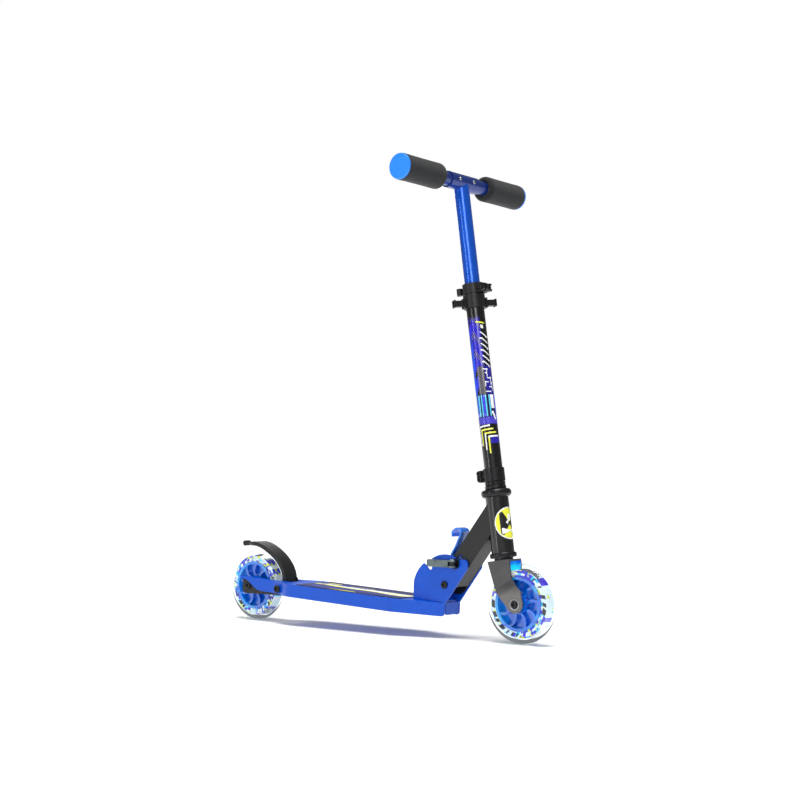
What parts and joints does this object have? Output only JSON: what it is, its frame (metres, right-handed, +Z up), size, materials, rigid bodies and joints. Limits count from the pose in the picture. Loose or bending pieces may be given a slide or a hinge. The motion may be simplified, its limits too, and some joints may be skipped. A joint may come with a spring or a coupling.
{
  "type": "folding kick scooter",
  "caption": "Folding two-wheel kick scooter with a sheet-metal deck, lift-out fold latch, telescopic T handlebar, clear wheels and a rear fender brake.",
  "frame": {"origin": "on the ground midway between the two axles, in the middle plane", "axes": "+X forward, the way it rides; +Y to the rider's left; +Z up from the ground"},
  "size_m": [0.6774, 0.307, 0.7337],
  "materials": {
    "blue_paint": "gloss",
    "blue_metallic": "gloss metallic",
    "black_paint": "gloss",
    "dark_grey_paint": "satin",
    "black_steel": "satin",
    "steel": "satin",
    "black_plastic": "matte",
    "blue_plastic": "gloss",
    "clear_tyre": "clear gloss",
    "print_ring": "gloss",
    "foam": "matte foam",
    "end_cap": "satin",
    "deck_print": "printed grip",
    "fender_plastic": "matte"
  },
  "bodies": {
    "deck": {"deck": "blue_paint", "grip_tape": "deck_print", "rear_dropout_left": "black_paint", "rear_dropout_right": "black_paint", "hinge_plate_left": "blue_paint", "hinge_plate_right": "blue_paint", "hinge_floor": "blue_paint", "pivot_bolt": "black_steel", "pivot_nut_and_washers": "black_steel", "rear_axle": "black_steel", "rear_axle_nut": "black_steel", "rear_axle_spacers": "steel", "fender_bolt": "black_steel", "fender_bushes": "black_plastic", "fender_spring": "steel"},
    "rear_wheel": {"rear_hub": "blue_plastic", "rear_tyre": "clear_tyre", "rear_print_ring": "print_ring", "rear_bearings": "steel"},
    "fender": {"brake_fender": "fender_plastic"},
    "neck": {"down_tube": "black_paint", "head_tube": "black_paint", "headset_cup_top": "black_steel", "headset_cup_bottom": "black_steel", "headset_bearings": "steel"},
    "latch": {"latch_axle": "black_steel", "latch_washer_and_nut": "black_steel", "release_hook": "blue_paint"},
    "fold_lever": {"fold_lever": "black_steel"},
    "steer": {"fork": "dark_grey_paint", "steerer_tube": "steel", "crown_race_and_headset_nuts": "black_steel", "lower_stem": "black_paint", "lower_clamp": "black_steel", "lower_clamp_bolts": "black_steel", "height_clamp": "black_plastic", "clamp_skewer": "black_steel", "clamp_skewer_nut": "black_steel", "handle_clip": "black_plastic", "front_axle": "black_steel", "front_axle_nut": "black_steel", "front_axle_spacers": "steel"},
    "clamp_lever": {"clamp_lever": "black_plastic"},
    "upper_bar": {"upper_tube": "blue_metallic", "bar_sleeve": "blue_metallic"},
    "button_left": {"snap_button_left": "steel"},
    "button_right": {"snap_button_right": "steel"},
    "handle_left": {"handle_tube_left": "blue_metallic", "grip_left": "foam", "end_cap_left": "end_cap"},
    "handle_right": {"handle_tube_right": "blue_metallic", "grip_right": "foam", "end_cap_right": "end_cap"},
    "front_wheel": {"front_hub": "blue_plastic", "front_tyre": "clear_tyre", "front_print_ring": "print_ring", "front_bearings": "steel"}
  },
  "joints": [
    {"name": "fold", "type": "hinge", "parent": "deck", "child": "neck", "pos_m": [0.14825, 0, 0.0827], "axis": [0, -1, 0], "range_deg": [0, 80]},
    {"name": "steering", "type": "hinge", "parent": "neck", "child": "steer", "pos_m": [0.25582, 0, 0.05672], "axis": [-0.1416, 0, 0.9899], "range_deg": [-90, 90]},
    {"name": "bar_height", "type": "slide", "parent": "steer", "child": "upper_bar", "axis": [-0.1416, 0, 0.9899], "range_m": [-0.14, 0.05]},
    {"name": "clamp_lever_open", "type": "hinge", "parent": "steer", "child": "clamp_lever", "pos_m": [0.20565, 0.0146, 0.54453], "axis": [0.1416, 0, -0.9899], "range_deg": [0, 150]},
    {"name": "latch_lift", "type": "slide", "parent": "neck", "child": "latch", "axis": [0.5299, 0, 0.848], "range_m": [0, 0.012], "stiffness_N_per_m": 300, "springref_m": -0.01},
    {"name": "fold_lever_open", "type": "hinge", "parent": "latch", "child": "fold_lever", "pos_m": [0.16902, -0.0275, 0.11594], "axis": [0, 0, 1], "range_deg": [0, 150]},
    {"name": "fender_press", "type": "hinge", "parent": "deck", "child": "fender", "pos_m": [-0.19475, 0, 0.059], "axis": [0, -1, 0], "range_deg": [0, 5], "stiffness_Nm_per_rad": 10, "springref_deg": -5.73},
    {"name": "rear_wheel_spin", "type": "hinge", "parent": "deck", "child": "rear_wheel", "pos_m": [-0.27875, 0, 0.06], "axis": [0, 1, 0], "continuous": true},
    {"name": "front_wheel_spin", "type": "hinge", "parent": "steer", "child": "front_wheel", "pos_m": [0.27875, 0, 0.06], "axis": [0, 1, 0], "continuous": true},
    {"name": "handle_left_pull", "type": "slide", "parent": "upper_bar", "child": "handle_left", "axis": [0, 1, 0], "range_m": [0, 0.03]},
    {"name": "handle_right_pull", "type": "slide", "parent": "upper_bar", "child": "handle_right", "axis": [0, -1, 0], "range_m": [0, 0.03]},
    {"name": "button_left_press", "type": "slide", "parent": "upper_bar", "child": "button_left", "axis": [-0.9899, 0, -0.1416], "range_m": [0, 0.0022], "stiffness_N_per_m": 400, "springref_m": -0.003},
    {"name": "button_right_press", "type": "slide", "parent": "upper_bar", "child": "button_right", "axis": [-0.9899, 0, -0.1416], "range_m": [0, 0.0022], "stiffness_N_per_m": 400, "springref_m": -0.003}
  ]
}
